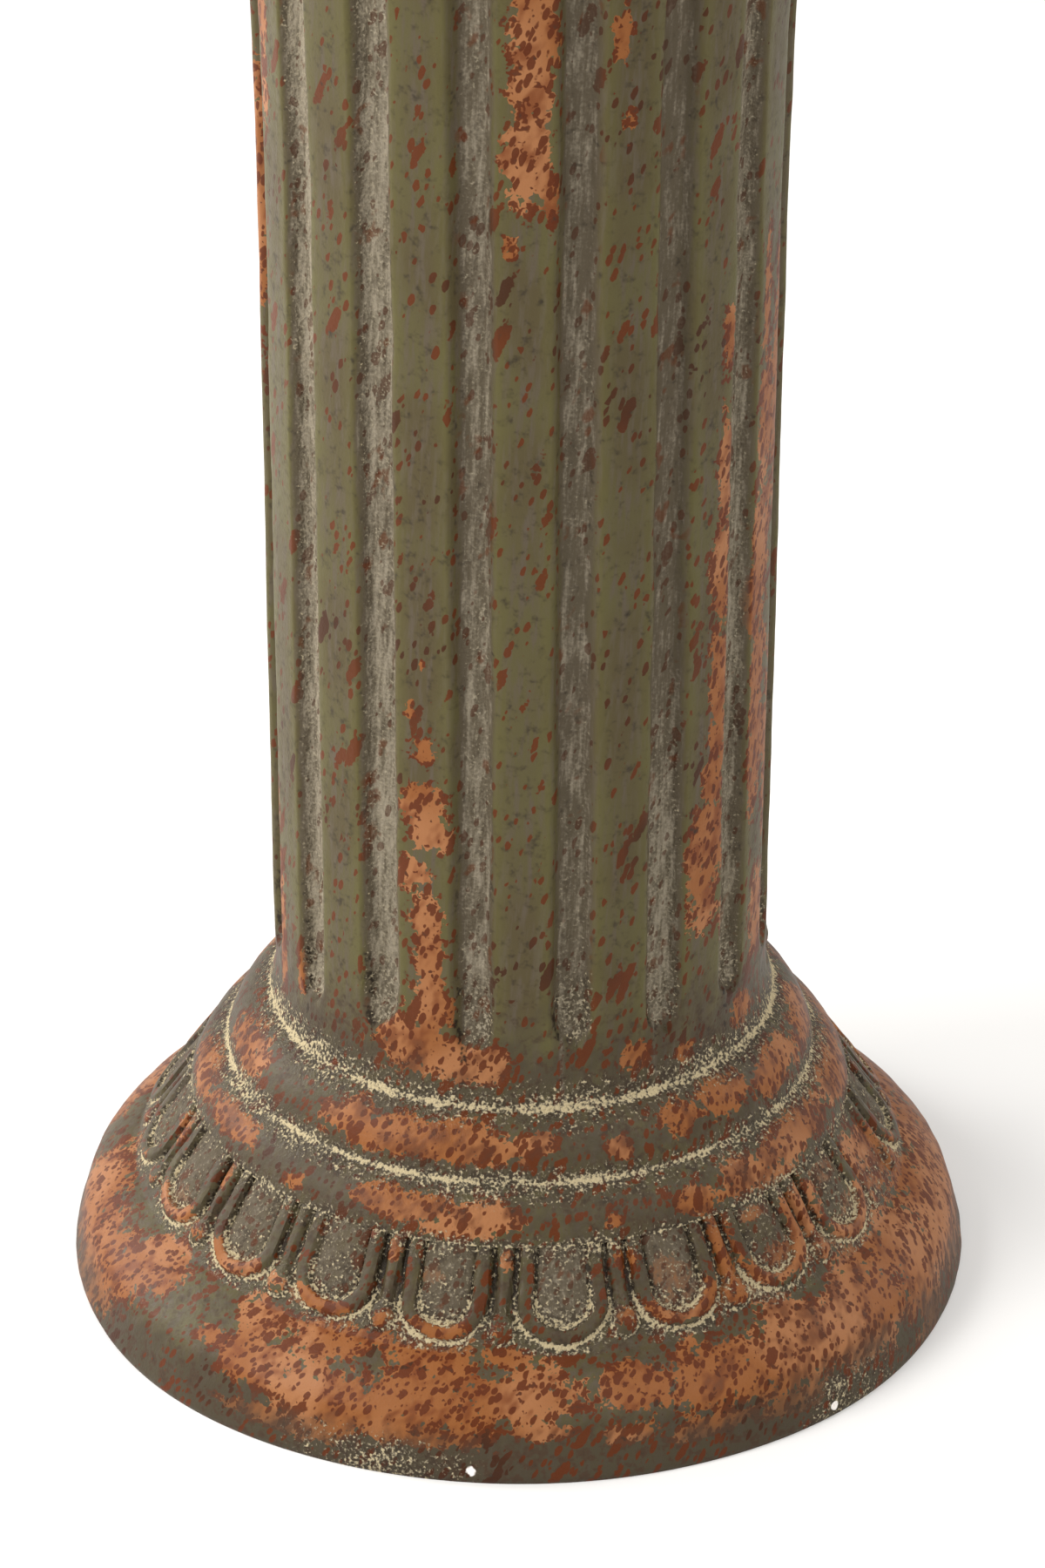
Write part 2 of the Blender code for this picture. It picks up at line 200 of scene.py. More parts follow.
def dart_azimuths():
    """The boundaries between the band's shares, from the first front dart through one whole turn."""
    front = FRONT_DART + FRONT_PITCH * np.arange(FRONT_EGGS + 1)
    back_start = front[-1] + SEAM_WIDTH
    back_pitch = (FRONT_DART + 2 * pi - back_start) / BACK_EGGS
    return np.concatenate([front, back_start + back_pitch * np.arange(BACK_EGGS + 1)])


def egg_and_dart(azimuth, drop):
    """Relief of the band and the shares of its cracks and painted groove shade, and crust, at these azimuths, drop down
    its slope.
    """
    darts = dart_azimuths()
    share = np.clip(np.searchsorted(darts, azimuth, side="right") - 1, 0, len(darts) - 2)
    middle = (darts[share] + darts[share + 1]) / 2
    half = (darts[share + 1] - darts[share]) / 2
    across = (azimuth - middle) / half * EGG_HALF_PITCH
    seam = share == FRONT_EGGS
    places = on_ring(azimuth, 0.147, 0.1 - drop)
    across = across + 0.5 * MM * drift(places, 16 * MM, 1)
    down = drop + 0.5 * MM * drift(places, 16 * MM, 2)
    tilt = drift(np.stack([share * 7.3, share * 1.7, share * 3.1], axis=1), 1.0, 3)
    across = across + 0.05 * tilt * (down - 20 * MM)
    lower = np.maximum(0.0, down - FRAME_ARC_DROP - 0.8 * MM * tilt) / FRAME_ARC_SHARE
    ring = np.hypot(across, lower)
    inner = FRAME_HALF_WIDTH - FRAME_RIB
    floor = -GROOVE_DEPTH * (1 - ease(down, 24 * MM, 35 * MM))
    frame_rib = ease(FRAME_HALF_WIDTH - ring, -0.2 * MM, 1.1 * MM) * ease(ring - inner, -0.2 * MM, 1.1 * MM)
    crowned = 1 - 0.25 * ((ring - inner - FRAME_RIB / 2) / (FRAME_RIB / 2)) ** 2
    egg = -0.6 * MM + (EGG_HEIGHT + 0.6 * MM) * np.maximum(0.0, 1 - (ring / inner) ** 2) ** 0.7
    relief = np.where(ring < inner, egg, floor)
    relief = np.maximum(relief, FRAME_HEIGHT * crowned * frame_rib + np.where(ring < inner, -0.6 * MM, floor) * (1 - frame_rib))
    beside = EGG_HALF_PITCH - np.abs(across)
    seam_half = SEAM_WIDTH / 2 * 0.147
    from_seam_end = (1 - np.abs((azimuth - middle) / half)) * seam_half
    relief = np.where(seam, -0.3 * MM, relief)
    beside = np.where(seam, from_seam_end, beside)
    dart_half = DART_HALF_WIDTH - DART_NECK * ease(down, 4 * MM, 25 * MM)
    dart = floor + (DART_HEIGHT - floor) * np.maximum(0.0, 1 - (beside / dart_half) ** 4)
    dart = np.where(down < BULB_DROP, dart, floor)
    bulb_share = 1 - (beside / BULB_HALF_WIDTH) ** 2 - ((down - BULB_DROP) / BULB_HALF_LENGTH) ** 2
    bulb = BULB_HEIGHT * np.sqrt(np.maximum(0.0, bulb_share))
    relief = np.maximum(relief, np.where(dart > floor + 0.02 * MM, dart, -1.0))
    relief = np.maximum(relief, np.where(bulb_share > 0, bulb, -1.0))
    # Dark cracks and painted shade in the grooves beside the frame ribs and at the eggs' edges, less where the relief
    # is worn
    gap = hump(ring, FRAME_HALF_WIDTH + 0.9 * MM, 1.6 * MM)
    crack = gap * (1 - ease(down, 26 * MM, 34 * MM)) * np.where(seam, 0.3, 1.0)
    crack = crack + 0.8 * hump(ring, inner, 1.2 * MM) * (1 - ease(down, 20 * MM, 27 * MM))
    below = ease(down, 18 * MM, 28 * MM)
    crust = hump(ring, FRAME_HALF_WIDTH + 0.7 * MM, 1.0 * MM) * (0.50 + 0.85 * below)
    crust = np.maximum(crust, 0.50 * below * hump(ring, FRAME_HALF_WIDTH + 2 * MM, 5 * MM) * (ring > FRAME_HALF_WIDTH))
    crust = np.maximum(crust, hump(ring, inner - 0.2 * MM, 1.2 * MM) * (0.50 + 0.55 * ease(down, 14 * MM, 24 * MM)))
    crust = np.maximum(crust, 0.9 * hump(bulb_share, 0.0, 0.35) * ease(down, 24 * MM, 30 * MM))
    in_egg = ease(inner - ring, -0.5 * MM, 1.5 * MM)
    crust = np.maximum(crust, in_egg * (0.26 + 0.34 * ease(ring, 3 * MM, 10.5 * MM) * ease(down, 16 * MM, 30 * MM)))
    crust = np.where(seam, 0.35 * hump(down, 30 * MM, 12 * MM), crust)
    chalk = np.where(seam, 0.0, (0.55 + 0.30 * tilt) * in_egg)
    knob = ease(bulb_share, 0.1, 0.5) * 0.55 * np.where(seam, 0.0, 1.0)
    crust = crust * (0.86 + 0.40 * drift(places, 24 * MM, 5, 2))
    worn = 0.30 + 0.35 * drift(places, 55 * MM, 4)
    seam_distance = np.abs(azimuth - (darts[FRONT_EGGS] + SEAM_WIDTH * 0.35))
    worn = np.clip(worn, 0.0, 0.6) * 0.5 + 0.72 * (1 - ease(seam_distance, radians(3.4), radians(6.5)))
    relief = relief * (1 - np.clip(worn, 0.0, 0.8))
    relief = relief * ease(BAND_LENGTH - drop, 0.0, 2.0 * MM)
    under_lip = 1 - ease(drop, 0.0, 1.6 * MM)
    relief = np.minimum(relief, FRAME_HEIGHT - 1.0 * MM * under_lip)
    return relief, crack * (1 - np.clip(worn, 0, 1)), crust, chalk, knob


def flute_shape(azimuth, z):
    """How deep the flutes cut in at these azimuths at height z, and their floors' share."""
    pitch = 2 * pi / FLUTES
    number = np.round((azimuth - FLUTE_AZIMUTH) / pitch)
    centre = FLUTE_AZIMUTH + number * pitch
    own = np.stack([number * 3.7, number * 1.3, 0 * number], axis=1)
    places = on_ring(azimuth, SHAFT_RADIUS, z)
    foot = FLUTE_FOOT_Z + 3.5 * MM * drift(own, 1.0, 11) + 2.0 * MM * drift(places, 6 * MM, 12)
    head = FLUTE_HEAD_Z + 3.0 * MM * drift(own, 1.0, 13)
    low_share = np.clip((z - foot) / FLUTE_END_LENGTH, 0.0, 1.0)
    high_share = np.clip((head - z) / FLUTE_END_LENGTH, 0.0, 1.0)
    end_share = np.sqrt(1 - (1 - np.minimum(low_share, high_share)) ** 2)
    wander = 0.45 * MM * drift(np.stack([number * 3.7, number * 1.3, z * 1.0 + 0 * number], axis=1), 0.045, 14)
    edge = 0.4 * MM * drift(places, 12 * MM, 15, 2)
    offset = np.abs((azimuth - centre) * SHAFT_RADIUS - wander) + edge
    floor_half = FLUTE_FLOOR_HALF * np.maximum(end_share, 0.3)
    side = FLUTE_SIDE * np.maximum(end_share, 0.3)
    share = np.clip((offset - floor_half) / side, 0.0, 1.0)
    depth = FLUTE_DEPTH * end_share * (0.5 + 0.5 * np.cos(pi * share)) ** 1.2
    # Painted highlight: a share that lightens the paint along each flute's shoulders
    shoulder = hump(offset, FLUTE_FLOOR_HALF + FLUTE_SIDE + 0.8 * MM, 2.4 * MM)
    near_end = hump(np.minimum(z - foot, head - z), 4 * MM, 34 * MM)
    by_chance = 0.7 + 0.5 * drift(own, 1.0, 16)
    turned = (number + FLUTES / 2) % FLUTES - FLUTES / 2
    chalk = np.array([FLUTE_CHALK.get(int(flute), chance) for flute, chance in zip(turned, by_chance)])
    widened = 0.9 * MM * ease(chalk, 1.0, 1.5)
    right_of = np.abs((azimuth - centre) * SHAFT_RADIUS - wander - 1.0 * MM + widened) + edge - widened
    floor = (1 - ease(right_of, floor_half, floor_half + side * 0.90)) * ease(end_share, 0.1, 0.8)
    # Painted shadow on each flute's left wall near its ends, carried in the crack share
    painted_wall_shadow = near_end * hump((azimuth - centre) * SHAFT_RADIUS, -floor_half - 2.4 * MM, 1.6 * MM)
    along = np.stack([number * 3.7, number * 1.3, z], axis=1)
    chalk = chalk * (1 + 0.30 * drift(along, 0.050, 17, 2))
    low = np.array([FLUTE_LOW_CHALK.get(int(flute), 0.0) for flute in turned])
    chalk = chalk + low * (1 - ease(z, 0.22, 0.33))
    drip = np.array([FLUTE_DRIP.get(int(flute), 0.0) for flute in turned]) * (0.8 + 0.6 * drift(along, 0.060, 18, 2))
    drip = drip * hump((azimuth - centre) * SHAFT_RADIUS - wander, -3.9 * MM, 1.0 * MM)
    return depth, floor, shoulder, near_end, chalk, 0.62 * painted_wall_shadow, drip


class Skin:
    """Rings of points on their way to one closed mesh, with a value of each finish at every point."""

    FINISHES = ("bare", "broad", "shoulder", "smoke", "crust", "grey", "crack")

    def __init__(self):
        self.points = []
        self.azimuths = []
        self.rings = []
        self.finish = {name: [] for name in self.FINISHES}
        self.faces = []
        self.count = 0

    def ring(self, azimuth, points, **finish):
        first = self.count
        self.count += len(points)
        self.points.append(points)
        self.rings.append(np.arange(first, self.count))
        self.azimuths.append(azimuth)
        finish["broad"] = drift(points, 42 * MM, 81, 2)
        for name in self.FINISHES:
            value = finish.get(name, 0.0)
            self.finish[name].append(np.broadcast_to(value, (len(points),)).astype(float))

    def join_rings(self):
        for i in range(len(self.rings) - 1):
            lower, upper = self.rings[i], self.rings[i + 1]
            if len(lower) == len(upper):
                quads = np.stack([lower, np.roll(lower, -1), np.roll(upper, -1), upper], axis=1)
                self.faces += quads.tolist()
            else:
                self.zip_rings(i)

    def zip_rings(self, i):
        """Triangles between rings of unequal counts, joined where their azimuths are nearest."""
        lower = self.rings[i].tolist() + [int(self.rings[i][0])]
        upper = self.rings[i + 1].tolist() + [int(self.rings[i + 1][0])]
        low = np.append(self.azimuths[i], self.azimuths[i][0] + 2 * pi)
        up = np.append(self.azimuths[i + 1], self.azimuths[i + 1][0] + 2 * pi)
        a = b = 0
        while a < len(lower) - 1 or b < len(upper) - 1:
            if b == len(upper) - 1 or (a < len(lower) - 1 and low[a + 1] <= up[b + 1]):
                self.faces.append([lower[a], lower[a + 1], upper[b]])
                a += 1
            else:
                self.faces.append([lower[a], upper[b + 1], upper[b]])
                b += 1

    def mesh(self, name):
        self.join_rings()
        self.faces.append(self.rings[0][::-1].tolist())
        self.faces.append(self.rings[-1].tolist())
        low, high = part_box("pedestal")
        points = np.clip(np.concatenate(self.points), np.array(low), np.array(high))
        mesh = bpy.data.meshes.new(name)
        mesh.from_pydata(points.tolist(), [], self.faces)
        for finish, values in self.finish.items():
            layer = mesh.attributes.new(finish, "FLOAT", "POINT")
            layer.data.foreach_set("value", np.concatenate(values).astype(np.float32))
        mesh.shade_smooth()
        mesh.set_sharp_from_angle(angle=radians(40))
        mesh.validate()
        return mesh


# Patches where the paint is worn through to the orange body: azimuth and height of the middle, and
# half its width and height, in degrees and millimetres
FRONT_LAND_PATCHES = [
    (2.0, 556, 5.6, 40), (0.5, 512, 5.0, 22), (5.0, 500, 3.0, 12), (-2.6, 478, 1.6, 4), (-0.8, 488, 1.4, 4),
]
FRONT_RIGHT_LAND_PATCHES = [(20.0, 556, 2.6, 12), (19.5, 536, 1.0, 8), (22.0, 524, 1.6, 9)]
LEFT_FOOT_PATCHES = [
    (-22.7, 306, 1.6, 5), (-24.5, 289, 1.6, 6), (-22.0, 272, 3.4, 6), (-22.5, 250, 7.0, 9), (-19.5, 238, 4.8, 9),
    (-24.5, 219, 5.0, 9), (-21.5, 200, 4.6, 10), (-20.0, 182, 5.0, 13), (-20.0, 163, 6.0, 14),
    (-25.0, 142, 11.0, 14), (-14.0, 138, 11.0, 11), (-6.0, 140, 4.0, 9),
]
RIGHT_LAND_PATCHES = [
    (50.2, 428, 2.4, 14), (66.0, 440, 1.8, 30), (67.0, 385, 4.4, 40), (66.0, 335, 6.0, 36), (61.5, 312, 4.4, 18),
    (49.6, 380, 2.6, 26), (49.0, 335, 3.4, 34), (49.5, 290, 3.6, 36), (48.0, 246, 4.6, 24), (46.0, 222, 7.0, 22),
    (45.0, 198, 6.0, 18), (66.0, 290, 4.4, 34), (66.0, 256, 4.4, 34), (76.0, 246, 5.6, 50), (74.0, 400, 3.0, 60),
    (58.4, 256, 2.0, 14), (54.0, 186, 3.0, 16), (70.0, 172, 5.0, 22),
]
RIGHT_FOOT_PATCHES = [(27.0, 136, 4.4, 7), (33.6, 149, 1.6, 4), (40.0, 131, 3.0, 5), (61.0, 134, 5.0, 7)]
LEFT_LAND_PATCHES = [
    (-70.0, 545, 2.4, 60), (-83.0, 470, 3.0, 60), (-72.0, 160, 2.6, 40), (-74.0, 220, 1.6, 30), (-60.0, 150, 2.2, 12),
]
UPPER_ROLL_PATCHES = [
    (-74.0, 107, 12.0, 9), (-31.0, 108, 11.0, 8), (-16.0, 110, 14.0, 7.5), (-4.0, 108, 7.0, 6.5), (5.0, 111, 3.0, 4),
    (34.0, 111, 7.0, 6), (46.0, 112, 9.0, 7), (64.0, 109, 13.0, 8), (86.0, 108, 12.0, 9), (20.0, 106, 2.4, 4),
]
LOWER_ROLL_PATCHES = [
    (-82.0, 87, 12.0, 7), (-62.0, 88, 8.0, 6), (-42.0, 84, 2.5, 4), (-20.0, 88, 13.0, 5.5), (-5.0, 86, 7.0, 6),
    (-13.0, 82, 6.0, 4), (16.0, 84, 2.4, 3), (31.0, 84, 6.0, 5.5), (42.0, 86, 7.0, 7), (60.0, 88, 14.0, 8),
    (84.0, 88, 14.0, 9), (50.0, 80, 6.0, 4),
]
BELLY_PATCHES = [
    (-38.0, 40, 6.0, 6), (-27.0, 41, 8.0, 6), (-14.0, 42, 9.0, 6), (-2.0, 42, 4.0, 4), (-44.0, 30, 4.0, 4),
    (-84.0, 24, 12.0, 22), (-74.0, 18, 11.0, 21), (-66.0, 26, 8.0, 14), (-60.0, 36, 7.0, 7), (-36.0, 28, 7.0, 9), (-24.0, 24, 10.0, 13),
    (-12.0, 29, 12.0, 12), (1.0, 32, 9.0, 9), (-30.0, 12, 9.0, 5), (-14.0, 17, 9.0, 5), (16.0, 33, 6.0, 7),
    (27.0, 32, 10.0, 12), (40.0, 31, 9.0, 15), (53.0, 30, 10.0, 19), (66.0, 30, 9.0, 24), (80.0, 26, 12.0, 26),
    (14.0, 18, 4.0, 4), (25.0, 15, 5.0, 4), (37.0, 12, 6.0, 5), (3.0, 21, 5.0, 3.5), (92.0, 26, 10.0, 20),
]
BAND_PATCHES = [
    (16.5, 70, 1.8, 6), (34.0, 64, 3.0, 14), (51.0, 62, 5.0, 13), (26.0, 52, 9.0, 6), (44.0, 54, 9.0, 7),
    (61.0, 52, 10.0, 8), (74.0, 60, 7.0, 14), (-12.0, 48, 7.0, 4.5), (-30.0, 49, 6.0, 4), (-2.0, 72, 1.2, 4),
    (-14.0, 66, 2.4, 3.5), (-20.5, 72, 1.2, 5), (-47.0, 50, 6.0, 5), (-65.0, 52, 6.0, 6), (24.0, 62, 3.0, 6),
    (42.0, 72, 3.0, 3), (60.0, 70, 4.0, 4), (-57.0, 72, 2.0, 6), (-75.0, 70, 2.0, 6),
]
PATCHES = [
    *FRONT_LAND_PATCHES, *FRONT_RIGHT_LAND_PATCHES, *LEFT_FOOT_PATCHES, *RIGHT_LAND_PATCHES, *RIGHT_FOOT_PATCHES,
    *LEFT_LAND_PATCHES, *UPPER_ROLL_PATCHES, *LOWER_ROLL_PATCHES, *BELLY_PATCHES, *BAND_PATCHES,
]
CHIPS = [(-5.7, 5.5, 1.9), (42.2, 4.5, 1.7)]
FOOT_RADIUS = 0.1855
NUBS = [(85.5, 145, 2.6), (86.5, 133, 2.4)]

# How chalky each front flute is, counted from the one right of the middle. The others go by chance.
FLUTE_CHALK = {-3: 1.7, -2: 1.45, -1: 0.80, 0: 0.65, 1: 0.45, 2: 1.15}
# What some flutes add to that in their lower part, and the strength of a thin pale drip down their left side
FLUTE_LOW_CHALK = {-1: 0.25, 0: 0.20, 1: 0.85}
FLUTE_DRIP = {0: 0.95, 1: 0.75}


def worn_by_chance(places):
    broad = 1.5 * drift(places * np.array([1.0, 1.0, 0.55]), 60 * MM, 21, 2) - 0.35
    return np.clip(broad, -1, 1) + 0.45 * drift(places, 13 * MM, 22, 2)


def bare_share(azimuth, z):
    """Above 0 where the paint is worn through, in listed patches at the front and by chance behind."""
    degrees = np.degrees((azimuth + pi) % (2 * pi) - pi)
    share = np.full(len(azimuth), -1.0)
    for middle, height, half_width, half_height in PATCHES:
        away = np.hypot((degrees - middle) / half_width, (z / MM - height) / half_height)
        share = np.maximum(share, 1 - away)
    places = on_ring(azimuth, 0.12, z)
    base_share = 0.55 * (1 - ease(z, 0.105, 0.135))
    behind = ease(np.abs(degrees), 92.0, 110.0)
    above = ease(z, 0.575, 0.62)
    free = np.maximum(behind, above)
    ragged = 0.45 * drift(places, 13 * MM, 22, 2)
    return share * (1 - free) + (worn_by_chance(places) + base_share) * free + ragged * (1 - free)


def chip_share(azimuth, z):
    degrees = np.degrees((azimuth + pi) % (2 * pi) - pi)
    share = np.zeros(len(azimuth))
    for middle, height, half in CHIPS:
        share = np.maximum(share, np.exp(-(((degrees - middle) * 3.2 / half) ** 2 + ((z / MM - height) / half) ** 2)))
    return share


def swell(places):
    """The casting's slow unevenness."""
    return 0.25 * MM * drift(places, 45 * MM, 31, 2)


def sunk(azimuth, z):
    """The casting's foot of the shaft stands in a little on its left."""
    degrees = np.degrees((azimuth + pi) % (2 * pi) - pi)
    return 1.6 * MM * hump(degrees, -80.0, 34.0) * hump(z, 0.118, 0.018)


def pushed(azimuth, radius, z, out, up, push):
    """Points pushed off the profile along its normal (out, up)."""
    return on_ring(azimuth, radius + out * push, 0.0) + np.stack([0 * push, 0 * push, z + up * push], axis=1)


def normals(path, before, after):
    """The profile's outward normal at each point of the path."""
    whole = np.array([before, *path, after])
    run = whole[2:] - whole[:-2]
    length = np.hypot(run[:, 0], run[:, 1])
    return np.stack([run[:, 1] / length, -run[:, 0] / length], axis=1)


def crease_crust(places, z, lines):
    """Crust along the creases, with thin places and thick ones."""
    crust = np.zeros(len(places))
    for number, (height, reach, amount) in enumerate(lines):
        patchy = amount * (0.85 + 0.60 * drift(places, 30 * MM, 41 + number, 3))
        near = hump(z, height, reach)
        crust = np.maximum(crust, patchy * near)
    return crust


CREASE_LINES = [
    (SHAFT_FOOT[1] + 0.5 * MM, 1.1 * MM, 1.30),
    (SHAFT_FOOT[1] + 3 * MM, 7.5 * MM, 0.58),
    (ROLL_CREASE[1] + 0.4 * MM, 1.0 * MM, 1.30),
    (ROLL_CREASE[1], 5.0 * MM, 0.57),
    (BAND_HEAD[1] + 0.6 * MM, 1.0 * MM, 1.05),
    (BAND_HEAD[1] - 1 * MM, 5.0 * MM, 0.48),
]


def add_base(skin):
    wall = rounded([UNDERSIDE, *line(UNDERSIDE, WALL_FOOT, 1 * MM), *line(WALL_FOOT, WALL_HEAD, 1 * MM),
                    *arc(WALL_HEAD, BAND_FOOT, SHOULDER_BULGE, 1 * MM)], 6)
    wall[1:3] = [(0.1852, 0.0009), (0.1855, 0.0021)]
    keep = [0, 1, 2] + list(range(3, len(wall) - 1, round(BASE_STEP / MM)))
    path = [wall[i] for i in keep]
    facing = normals(path, (0.17, 0.0), BAND_FOOT)
    azimuth = even_azimuths(BASE_COLUMNS)
    for (radius, z), (out, up) in zip(path, facing):
        places = on_ring(azimuth, radius, z)
        degrees = np.degrees((azimuth + pi) % (2 * pi) - pi)
        low = 1 - ease(z, 0.024, 0.044)
        spread = (2.8 * hump(degrees, -50.0, 24.0) + 1.5 * hump(degrees, 50.0, 20.0)) * MM * low
        chip = chip_share(azimuth, np.full(len(azimuth), z))
        rough = ease(drift(places, 60 * MM, 51, 2), 0.3, 0.9) * ease(np.abs(degrees), 80.0, 100.0)
        rough = np.maximum(rough, hump(degrees, -18.0, 10.0) + hump(degrees, 45.0, 8.0))
        rough = rough * (1 - ease(z, 0.009, 0.021))
        push = swell(places) + 0.15 * MM * drift(places, 9 * MM, 52) - 0.9 * MM * chip
        push = push + 0.30 * MM * rough * drift(places, 4 * MM, 53)
        push = push * ease(z, -0.001, 0.003)
        points = pushed(azimuth, radius + spread, z, out, up, push)
        crust = rough * (0.42 + 0.30 * drift(places, 14 * MM, 54, 2))
        # Darker and greyer towards the bottom of the base and on its right side
        smoke = 0.52 * (1 - ease(z, 0.006, 0.030)) + 0.36 + 0.18 * hump(degrees, 48.0, 34.0)
        skin.ring(azimuth, points, bare=bare_share(azimuth, places[:, 2]), crust=crust, smoke=smoke)


def add_band(skin):
    run, rise = BAND_FOOT[0] - BAND_HEAD[0], BAND_FOOT[1] - BAND_HEAD[1]
    out, up = -rise / BAND_LENGTH, run / BAND_LENGTH
    azimuth = even_azimuths(BAND_COLUMNS)
    for row in range(BAND_ROWS + 1):
        drop = BAND_LENGTH * (1 - row / BAND_ROWS)
        radius = BAND_HEAD[0] + run * drop / BAND_LENGTH
        z = BAND_HEAD[1] + rise * drop / BAND_LENGTH
        places = on_ring(azimuth, radius, z)
        relief, crack, crust, chalk, knob = egg_and_dart(azimuth, np.full(len(azimuth), drop))
        crust = np.maximum(crust, crease_crust(places, z, CREASE_LINES))
        grain = drift(places, 2.6 * MM, 61, 2)
        push = relief + 0.10 * MM * drift(places, 7 * MM, 62) + 0.22 * MM * grain * np.clip(crust, 0, 1)
        push = push + swell(places) * ease(drop, 0.0, 5 * MM)
        points = pushed(azimuth, radius, z, out, up, push)
        bare = bare_share(azimuth, places[:, 2]) + knob
        skin.ring(azimuth, points, bare=bare, crust=crust, crack=crack, grey=chalk, smoke=0.50)


def add_rolls(skin):
    lower = [LOWER_ROLL_FOOT, *arc(LOWER_ROLL_FOOT, ROLL_CREASE, LOWER_ROLL_BULGE, ROLL_STEP)]
    upper = arc(ROLL_CREASE, SHAFT_FOOT, UPPER_ROLL_BULGE, ROLL_STEP)
    path = [*lower, *upper]
    facing = normals(path, (0.1350, 0.0760), (0.1038, 0.1215))
    azimuth = even_azimuths(ROLL_COLUMNS)
    for (radius, z), (out, up) in zip(path, facing):
        places = on_ring(azimuth, radius, z)
        crust = crease_crust(places, z, CREASE_LINES)
        filled = 0.5 * MM * np.clip(crust, 0, 1) * hump(z, ROLL_CREASE[1], 2.5 * MM)
        push = swell(places) + 0.12 * MM * drift(places, 9 * MM, 63) + filled
        push = push + 0.22 * MM * drift(places, 3 * MM, 64) * np.clip(crust, 0, 1)
        push = push * ease(z, LOWER_ROLL_FOOT[1] - 0.5 * MM, LOWER_ROLL_FOOT[1] + 3 * MM)
        points = pushed(azimuth, radius - sunk(azimuth, z), z, out, up, push)
        skin.ring(azimuth, points, bare=bare_share(azimuth, places[:, 2]), crust=crust, smoke=0.55)


def nubs(azimuth, z):
    """Small lumps of crust on the foot of the shaft."""
    lumps = 0.0 * azimuth
    for middle, height, half in NUBS:
        away = np.hypot((np.degrees(azimuth) - middle) * 1.75, z / MM - height)
        lumps = lumps + 1.3 * MM * np.exp(-((away / half) ** 2))
    return lumps


def shaft_radius(z):
    foot_share = max(0.0, 1 - (z - SHAFT_FOOT[1]) / FOOT_FLARE_HEIGHT)
    head_share = max(0.0, 1 - (SHAFT_HEAD[1] - z) / HEAD_FLARE_HEIGHT)
    foot_flare, head_flare = SHAFT_FOOT[0] - SHAFT_RADIUS, SHAFT_HEAD[0] - SHAFT_RADIUS
    return SHAFT_RADIUS + foot_flare * foot_share**2 + head_flare * head_share**2


def shaft_heights():
    heights = list(np.arange(SHAFT_FOOT[1] + 0.9 * MM, FLUTE_FOOT_Z + 18 * MM, END_STEP))
    heights += list(np.arange(heights[-1] + 3.2 * MM, FLUTE_HEAD_Z - 16 * MM, SHAFT_STEP))
    heights += list(np.arange(heights[-1] + 3.2 * MM, SHAFT_HEAD[1] - 2 * MM, 3.4 * MM))
    return heights


def add_shaft(skin):
    azimuth = fluted_azimuths()
    for z in shaft_heights():
        radius = shaft_radius(z)
        places = on_ring(azimuth, radius, z)
        depth, floor, shoulder, near_end, chalk, wall_shadow, drip = flute_shape(azimuth, np.full(len(azimuth), z))
        crust = crease_crust(places, z, CREASE_LINES)
        flute_crust = floor * np.maximum(0.50 * near_end, 0.22 * chalk - 0.05)
        rough = floor * (0.20 + 0.25 * chalk + 0.9 * near_end)
        push = -depth + swell(places) + 0.10 * MM * drift(places, 10 * MM, 71)
        push = push + rough * MM * drift(places * np.array([1, 1, 0.6]), 5 * MM, 72, 2)
        push = push + 0.25 * MM * drift(places, 3 * MM, 73) * np.clip(crust, 0, 1)
        push = np.minimum(push, 0.6 * MM) + nubs(azimuth, z)
        points = on_ring(azimuth, radius - sunk(azimuth, z) + push, z)
        bare = bare_share(azimuth, places[:, 2]) - 0.9 * floor
        grey = np.maximum(floor * (0.55 + 0.45 * chalk), 1.25 * drip)
        crust = np.maximum(crust, flute_crust)
        smoke = 0.05 + 0.60 * (1 - ease(z, 0.120, 0.185))
        # The crack share on the shaft carries the painted shadow on the flutes' left walls
        skin.ring(azimuth, points, bare=bare, crust=crust, grey=grey, crack=wall_shadow, shoulder=shoulder, smoke=smoke)


def add_capital(skin):
    neck = [SHAFT_HEAD, *arc(SHAFT_HEAD, BELL_FOOT, NECK_ROLL_BULGE, CAPITAL_STEP * 0.7)]
    bell = arc(BELL_FOOT, BELL_HEAD, BELL_BULGE, CAPITAL_STEP)
    rim = [RIM_FOOT, *line(RIM_FOOT, RIM_HEAD, CAPITAL_STEP)]
    edge = [(0.1547, 0.7577), (0.1528, 0.7594), TOP_EDGE]
    top = [(radius, TOP_EDGE[1]) for radius in (0.132, 0.108, 0.082, 0.054, 0.026)]
    path = [*neck, *bell, *rim, *edge, *top]
    facing = normals(path, (0.1060, 0.6540), (0.02, 0.76))
    azimuth = even_azimuths(CAPITAL_COLUMNS)
    lines = [(SHAFT_HEAD[1], 2.5 * MM, 0.9), (BELL_FOOT[1], 2.5 * MM, 0.9), (BELL_HEAD[1], 3.0 * MM, 0.8)]
    for (radius, z), (out, up) in zip(path, facing):
        places = on_ring(azimuth, radius, z)
        push = swell(places) * (1 - ease(z, 0.752, 0.758))
        points = pushed(azimuth, radius, z, out, up, push)
        crust = crease_crust(places, z, lines)
        skin.ring(azimuth, points, bare=worn_by_chance(places) if z > 0.7598 else bare_share(azimuth, z), crust=crust)


def make_skin():
    skin = Skin()
    add_base(skin)
    add_band(skin)
    add_rolls(skin)
    add_shaft(skin)
    add_capital(skin)
    pedestal = bpy.data.objects.new("pedestal_skin", skin.mesh("pedestal_skin"))
    bpy.context.scene.collection.objects.link(pedestal)
    return pedestal


